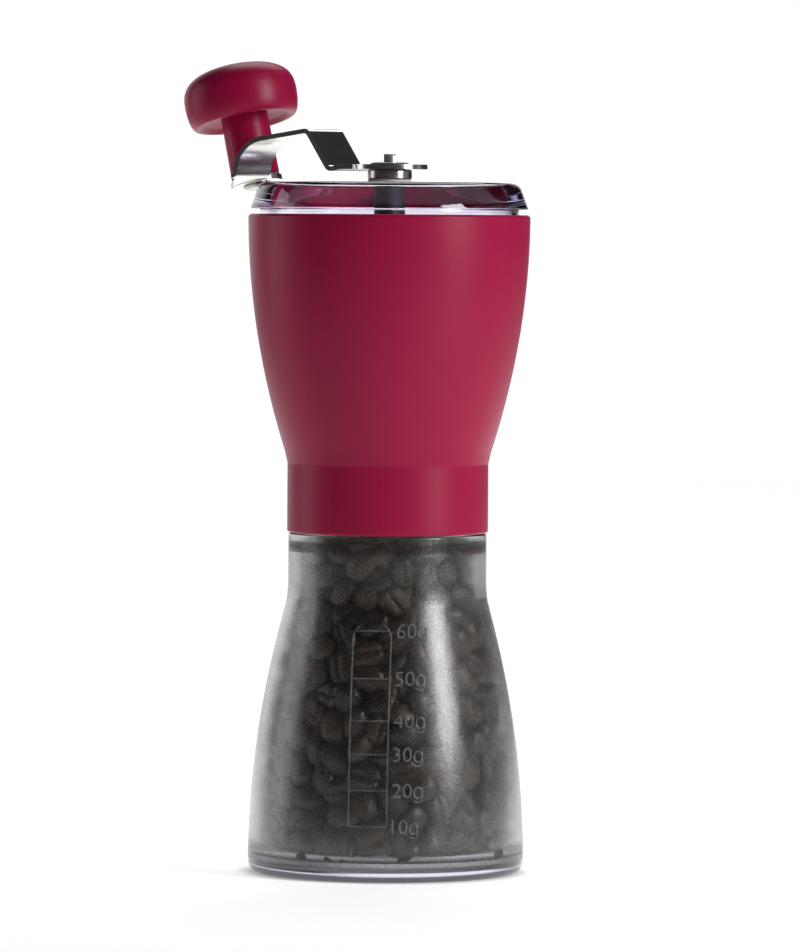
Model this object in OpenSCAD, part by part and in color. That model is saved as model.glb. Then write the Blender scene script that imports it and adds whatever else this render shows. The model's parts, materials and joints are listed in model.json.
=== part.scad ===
// Hand coffee grinder: a clear jar below, a waisted hopper with ceramic burrs above, a crank on top.
// Origin at the centre of the jar's underside, +Z up, jar scale facing -Y. Millimetres.

/* [Jar] */
// Diameter of the jar at its foot
jar_foot_d = 75; // [68:0.5:90]
// Height of the jar up to the shoulder under the collar
jar_h = 92; // [80:1:120]
// Height of the straight neck below that shoulder
jar_neck_h = 17; // [10:0.5:24]
// Thickness of the jar wall
jar_wall = 2.2; // [1.6:0.1:3]
// Thickness of the jar floor
jar_floor = 5; // [3:0.5:8]
// Rounding of the jar's bottom edge
jar_edge_r = 3; // [1:0.25:5]
// Height of the spigot that enters the collar
spigot_h = 12; // [10:0.5:16]
// Thickness of the spigot wall
spigot_wall = 1.9; // [1.4:0.1:2.4]
// Thickness of the jar's sealing ring
seal_t = 2; // [1:0.25:3]

/* [Hopper] */
// Outside diameter of the collar that takes the jar
collar_d = 54.6; // [52:0.2:62]
// Thickness of the collar wall
collar_wall = 2.2; // [1.6:0.1:2.8]
// Outside diameter of the hopper at its rim
hopper_rim_d = 76.6; // [72:0.2:90]
// Height of the hopper from the waist crease to the rim
hopper_h = 66.6; // [50:0.2:90]
// Thickness of the hopper wall
hopper_wall = 2.6; // [2:0.1:3.2]
// Thickness of the shoulder inside the waist
shoulder_t = 3; // [2:0.25:5]
// Depth of the bridge's ledge below the rim
ledge_depth = 8.6; // [6:0.2:12]
// How far the ledge stands in from the wall
ledge_w = 1.8; // [1.2:0.1:3]

/* [Lid] */
// How far the lid's lower edge stands in from the hopper's rim
lid_inset = 0.4; // [0:0.1:1.5]
// Height of the lid above its lower edge
lid_h = 7.6; // [6:0.2:12]
// How much the lid narrows from its lower edge to its top corner
lid_taper = 2.7; // [1:0.1:4]
// Rounding of the lid's top corner
lid_round = 3; // [1:0.25:4]
// Thickness of the lid's top and of its spigot wall
lid_wall = 1.9; // [1.2:0.1:2.4]
// Gap left open between lid and hopper rim
lid_gap = 1.4; // [0.5:0.1:3]

/* [Burrs] */
// Height of the outer burr
burr_h = 12.5; // [10:0.5:16]
// Radial thickness of the outer burr at its lower edge
burr_land = 3; // [2.4:0.1:3.6]
// Height of the fine grinding zone
fine_h = 4; // [3:0.25:6]
// Rise of the grinding cone, radius lost per unit of height
burr_slope = 0.62; // [0.5:0.02:0.7]
// Gap between the burrs at the coarsest setting
burr_gap = 1.35; // [1.3:0.05:1.6]
// Number of fine teeth on the inner burr
fine_teeth = 36; // [24:1:48]
// Number of feeding flutes on the inner burr
flutes = 8; // [6:1:10]
// Depth of the fine teeth
tooth_depth = 0.9; // [0.5:0.1:1.2]
// Thickness of the ring that holds the outer burr
retainer_t = 1.5; // [1:0.25:2.5]

/* [Adjuster] */
// Height of the adjusting nut
nut_h = 8.3; // [6:0.1:12]
// Diameter over the adjusting nut's lobes
nut_d = 26; // [20:1:32]
// Number of grip hollows round the adjusting nut
nut_lobes = 8; // [6:1:12]
// Wire diameter of the burr spring
spring_wire = 1; // [0.6:0.1:1.2]
// Number of turns of the burr spring
spring_turns = 3.5; // [2.5:0.5:4]
// Free depth of the spring's seat in the inner burr
spring_seat = 5; // [4:0.5:6]

/* [Shaft] */
// Diameter of the drive shaft
shaft_d = 5.4; // [4.6:0.1:6]
// Width across the flats at the crank end
crank_flats = 3.2; // [3:0.1:4.2]
// Width across the flats at the burr end
burr_flats = 4.2; // [3.6:0.1:4.4]
// Radial running clearance of the shaft and of the knob's pin
run_clear = 0.05; // [0.02:0.01:0.1]
// Length of shaft standing above the crank arm
shaft_tip = 2.85; // [1:0.25:6]

/* [Crank] */
// Plan angle of the crank at rest, from +X
crank_angle = 138; // [0:1:359]
// Distance of the knob's foot from the shaft
crank_r = 49.5; // [46:0.5:70]
// Thickness of the crank's sheet steel
sheet_t = 1.3; // [1:0.1:2]
// Width of the crank's strip
strip_w = 13.4; // [11:0.2:14]
// Diameter of the crank's hub plate
hub_d = 20.6; // [16:0.2:26]
// Distance from the shaft to the crank's lower bend
bend_in = 13.6; // [12:0.2:16]
// Distance from the shaft to the crank's upper bend
bend_out = 20.2; // [19:0.2:24]
// Rise of the crank from its hub to its upper bend
arm_rise = 9.8; // [8:0.2:12]
// Fall of the crank from its hub to the knob's foot plate
foot_drop = 4.2; // [3:0.1:5]
// Radius of the crank's arch
arch_r = 9.5; // [7:0.25:10]
// Diameter of the knob's foot plate
foot_d = 14.4; // [13:0.2:17]
// Diameter of the crank's boss
boss_d = 12.1; // [10:0.1:15]
// Height of the crank's boss below the arm
boss_h = 2.85; // [2:0.05:6]

/* [Knob] */
// Largest diameter of the knob
knob_d = 31.4; // [26:0.2:36]
// Height of the knob's head
knob_h = 15.8; // [12:0.2:18]
// Diameter of the knob's stem at its foot
stem_d = 13.4; // [11:0.2:13.6]
// Length of the knob's stem
stem_l = 15.9; // [12:0.1:24]
// Outward lean of the knob
knob_tilt = 15; // [0:0.5:15]
// Diameter of the knob's pin
pin_d = 5; // [4:0.1:6]

/* [Hidden] */
$fn = 64;
cut = 1;                    // overrun of a cutter past the face it opens
curve_steps = 20;           // points along a long curve

// Colours
clear_c = [0.86, 0.9, 0.93, 0.45];
berry_c = [0.6, 0.07, 0.22];
white_c = [0.92, 0.91, 0.87];
grey_c = [0.3, 0.3, 0.32];
steel_c = [0.72, 0.72, 0.7];
brass_c = [0.78, 0.66, 0.38];
seal_c = [0.8, 0.8, 0.78, 0.8];

// Radii from the collar inwards
collar_r = collar_d / 2;
neck_r = collar_r - 0.4;
thread_clear = 0.3;
sleeve_clear = 0.6;
burr_clear = 0.1;
collar_in_r = collar_r - collar_wall;
spigot_r = collar_in_r - thread_clear;
spigot_in_r = spigot_r - spigot_wall;
sleeve_r = spigot_in_r - sleeve_clear;
sleeve_wall = 2.2;
sleeve_in_r = sleeve_r - sleeve_wall;
burr_r = sleeve_in_r - burr_clear;
land_r = burr_r - burr_land;
throat_r = burr_r - 2.2;
shaft_r = shaft_d / 2;
bore_r = shaft_r + run_clear;

// Levels from the table upwards
collar_gap = 0.3;
flange_t = 2.5;
crease_rise = 0.5;
bridge_t = 2.5;
washer_t = 0.4;
collar_z = jar_h + collar_gap;
shoulder_z = jar_h + spigot_h + seal_t;
flange_z = shoulder_z + shoulder_t;
waist_z = flange_z + flange_t + crease_rise;
rim_z = waist_z + hopper_h;
ledge_z = rim_z - ledge_depth;
lid_z = rim_z + lid_gap;
lid_top_z = lid_z + lid_h;
boss_z = lid_top_z + washer_t;
arm_z = boss_z + boss_h;
shaft_top_z = arm_z + sheet_t + shaft_tip;

// Levels from the burrs downwards
burr_z = flange_z - burr_h;
skirt_h = 2;                // inner burr below the outer burr's lower edge
heel_h = 1.5;               // taper under the inner burr's widest line
plate_t = 1.2;
shaft_end = 2.5;
wide_z = burr_z - skirt_h;
heel_z = wide_z - heel_h;
plate_z = heel_z - plate_t;
nut_z = plate_z - nut_h;
shaft_z = nut_z - shaft_end;

// Inner burr
cone_r = land_r - burr_gap + burr_slope * skirt_h;
fine_top_z = burr_z + fine_h + 0.5;
inner_top_z = flange_z - 1;
fine_top_r = cone_r - burr_slope * (fine_top_z - wide_z);
inner_top_r = cone_r - burr_slope * (inner_top_z - wide_z);
seat_z = inner_top_z - spring_seat;
spring_r = shaft_r + 0.7 + spring_wire;
seat_r = spring_r + spring_wire / 2 + 0.6;

// Lower bearing
hub_r = 6;
hub_h = 6;
bush_r = 4.2;
bush_flange_r = 5.6;
bush_flange_t = 0.8;
hub_z = flange_z + flange_t - 0.5;
hub_top_z = hub_z + hub_h;
spring_top_z = hub_z - bush_flange_t - plate_t / 2;
thrust_t = 0.8;
clip_t = 0.8;
clip_z = hub_top_z + thrust_t;
groove_r = shaft_r - 0.5;

// Keys between the drive plate and the inner burr, and the nut's insert
lug_w = 3.4;
lug_h = 1.8;
lug_in_r = 5.6;
lug_out_r = 9.5;
insert_r = 4.5;
insert_flange_r = 6;
insert_flange_t = 1.5;

// Lid and the bridge under it
lid_r = hopper_rim_d / 2 - lid_inset;
lid_hole_r = shaft_r + 0.6;
bridge_drop = 4;            // bridge's hub below its arms
bridge_boss_z = ledge_z - bridge_drop;
bridge_top_z = ledge_z + bridge_t;

// Crank and knob places
skew = 0.235;               // sideways shift of the strip per unit of radius
strip_back = 7.5;           // strip's foot in front of the knob's axis
flats_turn = -48;           // turn of the crank's flats against its strip
foot_z = arm_z + sheet_t / 2 - foot_drop;
strip_x = crank_r - strip_back;
pin_r = pin_d / 2;
foot_t = sheet_t + 0.3;     // coined disc of the foot
knob_play = 0.1;            // end play of the knob above its washer
knob_base = foot_t / 2 + washer_t + knob_play;
rivet_r = 4.6;              // rivet spigot of the boss
head_z = knob_base + stem_l;
bulge_h = 6.8;              // height of the knob's widest line above its underside
lip_r = knob_d / 2 - 2;
roundness = 2.7;
seam_h = 9.8;               // height of the cap's seam on the knob's head
plug_r = knob_d / 2 - 4.9;
pin_head_r = pin_r + 1.7;
pin_head_z = head_z + 3;

// Points on an arc about c, from angle a to angle b
function arc(c, r, a, b, n) = [for (i = [0:n]) let (t = a + (b - a) * i / n) c + r * [cos(t), sin(t)]];

// Larger of two values, blended over a width k
function blend_max(a, b, k) = (a + b + sqrt((a - b) * (a - b) + k * k)) / 2;

function unit(v) = v / norm(v);
function turned(v, a) = [v.x * cos(a) - v.y * sin(a), v.x * sin(a) + v.y * cos(a)];
function reversed(p) = [for (i = [len(p) - 1:-1:0]) p[i]];

// Corner b of the line a, b, c, rounded to the radius r
function bend(a, b, c, r, n = 6) =
    let (d = unit(b - a),
        e = unit(c - b),
        side = sign(d.x * e.y - d.y * e.x),
        angle = acos(d * e),
        start = b - d * r * tan(angle / 2),
        centre = start + side * r * [-d.y, d.x])
    [for (i = [0:n]) centre + turned(start - centre, side * angle * i / n)];

// A line with every inner corner rounded to its own radius
function bent_line(p, r) = [
    p[0],
    for (i = [1:len(p) - 2]) each bend(p[i - 1], p[i], p[i + 1], r[i - 1]),
    p[len(p) - 1]
];

function heading(p, i) =
    let (before = i > 0 ? unit(p[i] - p[i - 1]) : [0, 0],
        after = i < len(p) - 1 ? unit(p[i + 1] - p[i]) : [0, 0])
    unit(before + after);
function shifted(p, d) = [for (i = [0:len(p) - 1]) let (h = heading(p, i)) p[i] + d * [-h.y, h.x]];

// Outline of a sheet of thickness t along a line
function ribbon(p, t) = concat(shifted(p, t / 2), reversed(shifted(p, -t / 2)));

// Saw-toothed ring, count teeth between the radii r and r + depth
function teeth(r, depth, count) = [
    for (i = [0:count - 1]) each [
        (r + depth) * [cos(i * 360 / count), sin(i * 360 / count)],
        r * [cos((i + 0.3) * 360 / count), sin((i + 0.3) * 360 / count)],
        (r + depth * 0.55) * [cos((i + 0.7) * 360 / count), sin((i + 0.7) * 360 / count)]
    ]
];

// Point where a line from q touches a circle, on its left side
function tangent_point(c, r, q) =
    let (d = norm(c - q), reach = sqrt(d * d - r * r))
    q + turned(unit(c - q), asin(r / d)) * reach;

// Jar outside radius: a curve upright at the foot, blended into the neck
flank_z = jar_h - jar_neck_h;
function jar_r(z) =
    let (t = (z - jar_edge_r) / (flank_z - jar_edge_r))
    blend_max(jar_foot_d / 2 - (jar_foot_d / 2 - neck_r) * t * t, neck_r, 0.5);

// Hopper outside radius: upright at the rim, ending in a crease at the collar
function hopper_r(z) =
    let (t = (rim_z - z) / hopper_h)
    blend_max(hopper_rim_d / 2 - (hopper_rim_d / 2 - collar_r) * t * t, collar_r, 0.12);

// Flat ring between two radii
module ring(r_out, r_in, z, h) {
    translate([0, 0, z])
        difference() {
            cylinder(r = r_out, h = h);
            translate([0, 0, -cut])
                cylinder(r = r_in, h = h + 2 * cut);
        }
}

// Round bar with two flats, flat to flat along Y
module flatted(r, flats, h) {
    intersection() {
        cylinder(r = r, h = h);
        translate([-r - cut, -flats / 2, -cut])
            cube([2 * r + 2 * cut, flats, h + 2 * cut]);
    }
}

// Clear jar: thick floor, curved flank, straight neck and a spigot for the collar
module jar() {
    step = 2;               // drop from the shoulder to the neck's inner cone
    neck_in_r = neck_r - jar_wall;
    inner_r = 4;            // rounding of the inside bottom corner
    low_z = jar_floor + inner_r;
    low_r = jar_r(low_z) - jar_wall;
    neck_cone_z = jar_h - step - 1.5 * (neck_in_r - spigot_in_r);
    outside = [for (i = [0:curve_steps]) let (z = jar_edge_r + (flank_z + 3 - jar_edge_r) * i / curve_steps)
        [jar_r(z), z]];
    inside = [for (i = [curve_steps:-1:0]) let (z = low_z + (flank_z + 3 - low_z) * i / curve_steps)
        [jar_r(z) - jar_wall, z]];
    color(clear_c)
        rotate_extrude($fn = 96)
            polygon(concat(
                [[0, 0]],
                arc([jar_foot_d / 2 - jar_edge_r, jar_edge_r], jar_edge_r, -90, -10, 5),
                outside,
                [[neck_r, jar_h], [spigot_r, jar_h], [spigot_r, jar_h + spigot_h],
                    [spigot_in_r, jar_h + spigot_h], [spigot_in_r, jar_h - step], [neck_in_r, neck_cone_z]],
                inside,
                arc([low_r - inner_r, low_z], inner_r, -15, -90, 5),
                [[0, jar_floor]]));
}

// Sealing ring between the jar's spigot and the shoulder in the waist
module jar_seal() {
    color(seal_c)
        ring(spigot_r, spigot_in_r + 0.2, jar_h + spigot_h, seal_t);
}

// Hopper: collar, waist shoulder, flared cup and a ledge for the bridge
module hopper_body() {
    wall_r = hopper_rim_d / 2 - hopper_wall;
    ledge_r = wall_r - ledge_w;
    ledge_t = 1.5;
    ledge_foot_z = ledge_z - ledge_t - 2 * ledge_w;
    lip = 0.6;
    outside = [for (i = [0:curve_steps]) let (z = waist_z - 1 + (rim_z - lip - waist_z + 1) * i / curve_steps)
        [hopper_r(z), z]];
    inside = [for (i = [curve_steps:-1:0]) let (z = flange_z + (ledge_foot_z - flange_z) * i / curve_steps)
        [hopper_r(z) - hopper_wall, z]];
    color(berry_c)
        rotate_extrude($fn = 96)
            polygon(concat(
                [[collar_in_r, collar_z], [collar_r - 0.4, collar_z], [collar_r, collar_z + 0.4]],
                outside,
                [[hopper_rim_d / 2 - lip, rim_z], [wall_r, rim_z], [wall_r, ledge_z], [ledge_r, ledge_z],
                    [ledge_r, ledge_z - ledge_t]],
                inside,
                [[sleeve_r + 0.3, flange_z], [sleeve_r + 0.3, shoulder_z], [collar_in_r, shoulder_z]]));
}

// Burr carrier: sleeve for the outer burr, feed funnel and a three-armed bearing hub
module burr_carrier() {
    flange_r = collar_r - hopper_wall - 0.3;
    funnel_h = 10;
    funnel_r = hopper_r(flange_z + funnel_h) - hopper_wall - 0.6;
    skin = 1.8;
    arm_w = 4;
    sleeve_z = burr_z - retainer_t;
    cup_z = flange_z + flange_t;
    color(grey_c)
        difference() {
            union() {
                rotate_extrude()
                    polygon([[sleeve_in_r, sleeve_z], [sleeve_r, sleeve_z], [sleeve_r, flange_z],
                        [flange_r, flange_z], [flange_r, cup_z], [funnel_r, flange_z + funnel_h],
                        [funnel_r - skin, flange_z + funnel_h], [throat_r, cup_z - 1], [throat_r, flange_z],
                        [sleeve_in_r, flange_z]]);
                translate([0, 0, hub_z])
                    cylinder(r = hub_r, h = hub_h);
                intersection() {
                    for (i = [0:2])
                        rotate([0, 0, 30 + 120 * i])
                            translate([0, -arm_w / 2, hub_z])
                                cube([funnel_r, arm_w, hub_h - 1]);
                    translate([0, 0, cup_z - 1])
                        cylinder(r1 = throat_r + skin / 2, r2 = funnel_r - skin / 2, h = funnel_h - flange_t + 1);
                }
            }
            translate([0, 0, hub_z - cut])
                cylinder(r = bush_r, h = hub_h + 2 * cut);
        }
}

// Ceramic ring with fine teeth below and wide feeding flutes above
module outer_burr() {
    fine_z = burr_z + fine_h;
    land_top_r = land_r - burr_slope * fine_h;
    coarse_h = flange_z - fine_z;
    color(white_c)
        difference() {
            translate([0, 0, burr_z])
                cylinder(r = burr_r, h = burr_h, $fn = 96);
            translate([0, 0, burr_z])
                linear_extrude(height = fine_h, twist = 14, scale = land_top_r / land_r, slices = 4)
                    polygon(teeth(land_r, tooth_depth, fine_teeth));
            translate([0, 0, fine_z - 0.01])
                linear_extrude(height = coarse_h + 0.02, twist = 22, scale = (throat_r - 0.2) / (land_top_r + 1.4),
                    slices = 6)
                    polygon(teeth(land_top_r + 0.2, 1.2, flutes + 2));
        }
}

// Bayonet ring that holds the outer burr in its sleeve
module burr_retainer() {
    color(grey_c)
        difference() {
            ring(sleeve_in_r - 0.05, land_r + 0.6, burr_z - retainer_t, retainer_t);
            for (i = [0:2])
                rotate([0, 0, 120 * i])
                    translate([sleeve_in_r - 1, -2, burr_z - retainer_t - cut])
                        cube([4, 4, retainer_t + 2 * cut]);
        }
}

// Flanged bush in the carrier's hub
module lower_bush() {
    color(white_c)
        difference() {
            union() {
                translate([0, 0, hub_z - bush_flange_t])
                    cylinder(r = bush_flange_r, h = bush_flange_t);
                translate([0, 0, hub_z - 0.1])
                    cylinder(r = bush_r, h = hub_h + 0.1);
            }
            translate([0, 0, hub_z - bush_flange_t - cut])
                cylinder(r = bore_r, h = hub_h + bush_flange_t + 2 * cut);
        }
}

// Three-armed bridge on the hopper's ledge, steadying the top of the shaft
module upper_bridge() {
    ring_r = hopper_rim_d / 2 - hopper_wall - 0.3;
    ring_in_r = ring_r - ledge_w - 1.4;
    arm_w = 4.5;
    drop_h = bridge_top_z - bridge_boss_z;
    color(berry_c)
        difference() {
            union() {
                ring(ring_r, ring_in_r, ledge_z, bridge_t);
                translate([0, 0, bridge_boss_z])
                    cylinder(r = hub_r + 1, h = drop_h);
                for (i = [0:2])
                    rotate([0, 0, 90 + 120 * i])
                        translate([0, -arm_w / 2, ledge_z])
                            cube([ring_in_r + 1, arm_w, bridge_t]);
            }
            translate([0, 0, bridge_boss_z - cut])
                cylinder(r = bush_r, h = drop_h + 2 * cut);
        }
}

// Plain bush in the bridge's hub
module upper_bush() {
    color(white_c)
        ring(bush_r, bore_r, bridge_boss_z, bridge_top_z - bridge_boss_z);
}

// Drive shaft: flats for the burr below, a groove for its clip, flats for the crank above
module drive_shaft() {
    flats_top_z = seat_z + 1;
    chamfer = 0.5;
    color(steel_c)
        difference() {
            rotate_extrude()
                polygon([[0, shaft_z], [shaft_r - chamfer, shaft_z], [shaft_r, shaft_z + chamfer],
                    [shaft_r, clip_z], [groove_r, clip_z], [groove_r, clip_z + clip_t + 0.1],
                    [shaft_r, clip_z + clip_t + 0.1], [shaft_r, shaft_top_z - chamfer],
                    [shaft_r - chamfer, shaft_top_z], [0, shaft_top_z]]);
            for (side = [0, 180])
                rotate([0, 0, side])
                    translate([-shaft_d, burr_flats / 2, shaft_z - cut])
                        cube([2 * shaft_d, shaft_d, flats_top_z - shaft_z + cut]);
            for (side = [0, 180])
                rotate([0, 0, crank_angle + flats_turn + side])
                    translate([-shaft_d, crank_flats / 2, boss_z])
                        cube([2 * shaft_d, shaft_d, shaft_top_z - boss_z + cut]);
        }
}

// Open clip that hangs the shaft on its thrust washer
module shaft_clip() {
    mouth = 2 * groove_r - 0.6;
    color(steel_c)
        difference() {
            ring(shaft_r + 1.9, groove_r + run_clear, clip_z, clip_t);
            translate([0, -mouth / 2, clip_z - cut])
                cube([2 * shaft_d, mouth, clip_t + 2 * cut]);
        }
}

// Thrust washer on top of the lower bush
module thrust_washer() {
    color(white_c)
        ring(hub_r - 0.4, bore_r, hub_top_z, thrust_t);
}

// Washer between the spring and the lower bush
module spring_washer() {
    color(steel_c)
        ring(seat_r - 0.3, bore_r, spring_top_z, plate_t / 2);
}

// Coil spring that presses the inner burr down on the adjusting nut
module burr_spring() {
    sides = 6;
    turn_rings = 10;
    wire_r = spring_wire / 2;
    rings = spring_turns * turn_rings;
    low_z = seat_z + wire_r;
    climb = spring_top_z - seat_z - spring_wire;
    points = [for (i = [0:rings]) for (k = [0:sides - 1])
        let (a = 360 * i / turn_rings, b = 360 * k / sides, r = spring_r + wire_r * cos(b))
        [r * cos(a), r * sin(a), low_z + climb * i / rings + wire_r * sin(b)]];
    echo(spring_gap = climb / spring_turns - spring_wire);
    color(steel_c)
        polyhedron(points, concat(
            [[for (k = [0:sides - 1]) k]],
            [for (i = [0:rings - 1]) for (k = [0:sides - 1]) each [
                [i * sides + k, (i + 1) * sides + k, i * sides + (k + 1) % sides],
                [i * sides + (k + 1) % sides, (i + 1) * sides + k, (i + 1) * sides + (k + 1) % sides]]],
            [[for (k = [sides - 1:-1:0]) rings * sides + k]]));
}

// Ceramic cone with fine teeth at its skirt and spiral flutes that draw the beans in
module inner_burr() {
    root_r = cone_r - tooth_depth;
    flute_r = fine_top_r * root_r / cone_r - 0.15;
    flute_depth = 2.6;
    lap = 0.5;
    color(white_c)
        difference() {
            union() {
                translate([0, 0, wide_z])
                    linear_extrude(height = fine_top_z - wide_z, twist = -20, scale = fine_top_r / cone_r, slices = 5)
                        polygon(teeth(root_r, tooth_depth, fine_teeth));
                translate([0, 0, fine_top_z - lap])
                    linear_extrude(height = inner_top_z - fine_top_z + lap, twist = -45,
                        scale = inner_top_r / flute_r, slices = 8)
                        polygon(teeth(flute_r - flute_depth, flute_depth, flutes));
                translate([0, 0, heel_z])
                    cylinder(r1 = root_r - heel_h, r2 = root_r - lap, h = heel_h + lap);
            }
            translate([0, 0, heel_z - cut])
                cylinder(r = bore_r + 0.2, h = inner_top_z - heel_z + 2 * cut);
            translate([0, 0, seat_z])
                cylinder(r = seat_r, h = spring_seat + cut);
            lugs(lug_w + 0.4, lug_in_r - 0.3, lug_out_r + 0.3, heel_z - cut, lug_h + 0.3 + cut);
        }
}

// Three keys that turn the inner burr
module lugs(w, r_in, r_out, z, h) {
    for (i = [0:2])
        rotate([0, 0, 90 + 120 * i])
            translate([r_in, -w / 2, z])
                cube([r_out - r_in, w, h]);
}

// Keyed steel plate under the inner burr
module drive_plate() {
    color(steel_c)
        difference() {
            union() {
                translate([0, 0, plate_z])
                    cylinder(r = lug_out_r, h = plate_t);
                intersection() {
                    lugs(lug_w, lug_in_r, lug_out_r, plate_z, plate_t + lug_h);
                    translate([0, 0, plate_z])
                        cylinder(r = lug_out_r, h = plate_t + lug_h);
                }
            }
            translate([0, 0, plate_z - cut])
                flatted(bore_r, burr_flats + 2 * run_clear, plate_t + 2 * cut);
        }
}

// Lobed nut that sets the grind
module adjusting_nut() {
    nut_r = nut_d / 2;
    chamfer = 1;
    color(grey_c)
        difference() {
            rotate_extrude()
                polygon([[insert_r + 0.03, nut_z], [nut_r - chamfer, nut_z], [nut_r, nut_z + chamfer],
                    [nut_r, plate_z - chamfer], [nut_r - chamfer, plate_z], [insert_flange_r + 0.1, plate_z],
                    [insert_flange_r + 0.1, plate_z - insert_flange_t],
                    [insert_r + 0.03, plate_z - insert_flange_t]]);
            for (i = [0:nut_lobes - 1])
                rotate([0, 0, 360 / nut_lobes * i])
                    translate([nut_r + 1.2, 0, nut_z - cut])
                        cylinder(r = nut_r * 0.2, h = nut_h + 2 * cut, $fn = 32);
        }
}

// Brass insert that runs on the shaft's end
module nut_insert() {
    color(brass_c)
        rotate_extrude()
            polygon([[bore_r, nut_z], [insert_r, nut_z], [insert_r, plate_z - insert_flange_t],
                [insert_flange_r, plate_z - insert_flange_t], [insert_flange_r, plate_z], [bore_r, plate_z]]);
}

// Clear lid: spigot standing on the bridge, sloped side and rounded top corner
module lid() {
    foot_r = hopper_rim_d / 2 - hopper_wall - 0.5;
    inner_r = foot_r - lid_wall;
    crown = 0.3;
    color(clear_c)
        rotate_extrude($fn = 96)
            polygon(concat(
                [[inner_r, bridge_top_z], [foot_r, bridge_top_z], [foot_r, lid_z]],
                bent_line([[lid_r, lid_z], [lid_r - lid_taper, lid_top_z - crown], [lid_hole_r, lid_top_z]],
                    [lid_round]),
                [[lid_hole_r, lid_top_z - lid_wall], [inner_r, lid_top_z - lid_wall]]));
}

// Thin washer between the lid and the crank's boss
module lid_washer() {
    color(white_c)
        ring(boss_d / 2 - 0.1, lid_hole_r, lid_top_z, washer_t);
}

// Outline of the crank from above: hub, skewed strip and the tongue of its foot
module crank_plan(band_x, near, far, foot) {
    circle(d = hub_d);
    polygon([[0, strip_w / 2], [0, -strip_w / 2],
        [band_x, skew * band_x - strip_w / 2], [band_x, skew * band_x + strip_w / 2]]);
    polygon([far, foot, tangent_point(foot, foot_d / 2 - 0.4, near), near]);
}

// Crank: one strip of sheet steel, bent up from the hub, arched down and turned out under the knob
module crank_arm() {
    dip = 0.8;
    fall = 0.155;           // slope of the strip from its upper bend to the arch
    foot_bend_r = 1;
    foot_slope = tan(knob_tilt);
    foot_top = strip_back * foot_slope - foot_drop;
    shoulder_y = arm_rise - fall * (strip_x - bend_out);
    arch_turn = 90 - atan(fall);
    leg = shoulder_y - foot_top - foot_bend_r * tan(45 - knob_tilt / 2);
    arch_fit = min(arch_r, 0.99 * leg / tan(arch_turn / 2));
    foot_reach = foot_d / 2 + 1;
    side = bent_line([[-hub_d / 2 - 1, 0], [bend_in - 3.2, 0], [bend_in, -dip], [bend_out, arm_rise],
        [strip_x, shoulder_y], [strip_x, foot_top], [crank_r + foot_reach, -foot_drop - foot_reach * foot_slope]],
        [6, 1.6, 1.6, arch_fit, foot_bend_r]);
    strip_y = skew * strip_x;
    band_x = strip_x + sheet_t;
    inset = 0.5;            // the foot's tongue starts this far inside the strip's edges
    near = [strip_x, strip_y + strip_w / 2 - inset];
    far = [strip_x, strip_y - strip_w / 2 + inset];
    foot = [crank_r, 0];
    deep = arm_rise + foot_drop + 10;
    color(steel_c)
        difference() {
            union() {
                translate([0, 0, arm_z + sheet_t / 2])
                    rotate([0, 0, crank_angle])
                        intersection() {
                            rotate([90, 0, 0])
                                linear_extrude(height = 4 * strip_w, center = true)
                                    polygon(ribbon(side, sheet_t));
                            translate([0, 0, -deep])
                                linear_extrude(height = 2 * deep)
                                    crank_plan(band_x, near, far, foot);
                        }
                at_knob()
                    translate([0, 0, -foot_t / 2])
                        cylinder(d = foot_d, h = foot_t);
            }
            translate([0, 0, arm_z - cut])
                cylinder(r = rivet_r + 0.03, h = sheet_t + 2 * cut);
            at_knob()
                translate([0, 0, -foot_t / 2 - cut])
                    cylinder(r = pin_r + 0.03, h = foot_t + 2 * cut);
        }
}

// Turned boss riveted through the hub plate, with flats for the shaft
module arm_boss() {
    chamfer = 0.4;
    rivet_z = arm_z + sheet_t;
    color(steel_c)
        difference() {
            rotate_extrude()
                polygon([[0, boss_z], [boss_d / 2 - chamfer, boss_z], [boss_d / 2, boss_z + chamfer],
                    [boss_d / 2, arm_z - chamfer], [boss_d / 2 - chamfer, arm_z], [rivet_r, arm_z], [rivet_r, rivet_z],
                    [rivet_r + 0.8, rivet_z], [rivet_r + 0.5, rivet_z + 0.45], [rivet_r - 0.9, rivet_z + 0.75],
                    [0, rivet_z + 0.75]]);
            translate([0, 0, boss_z - cut])
                rotate([0, 0, crank_angle + flats_turn])
                    flatted(bore_r, crank_flats + 2 * run_clear, boss_h + sheet_t + 4 * cut);
        }
}

// Places its children on the knob's axis, with the foot plate's mid-plane at zero
module at_knob() {
    translate([crank_r * cos(crank_angle), crank_r * sin(crank_angle), foot_z])
        rotate([0, knob_tilt, crank_angle])
            children();
}

// Riveted pin that the knob turns on
module knob_pin() {
    tail_z = -foot_t / 2;
    color(steel_c)
        at_knob()
            rotate_extrude()
                polygon([[0, tail_z - 1], [pin_r + 0.6, tail_z - 1], [pin_r + 1.4, tail_z - 0.4],
                    [pin_r + 1.4, tail_z], [pin_r, tail_z], [pin_r, pin_head_z], [pin_head_r, pin_head_z],
                    [pin_head_r, pin_head_z + 0.7], [pin_head_r - 0.5, pin_head_z + 1.2], [0, pin_head_z + 1.2]]);
}

// Washer between the foot plate and the knob
module pin_washer() {
    color(steel_c)
        at_knob()
            ring(stem_d / 2 - 1, pin_r + run_clear, foot_t / 2, washer_t);
}

// Radius of the knob's head at the height h above its underside
function head_r(h) = h < bulge_h
    ? lip_r + (knob_d / 2 - lip_r) * sqrt(1 - pow(1 - h / bulge_h, 2))
    : knob_d / 2 * pow(1 - pow((h - bulge_h) / (knob_h - bulge_h), roundness), 1 / roundness);

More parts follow.
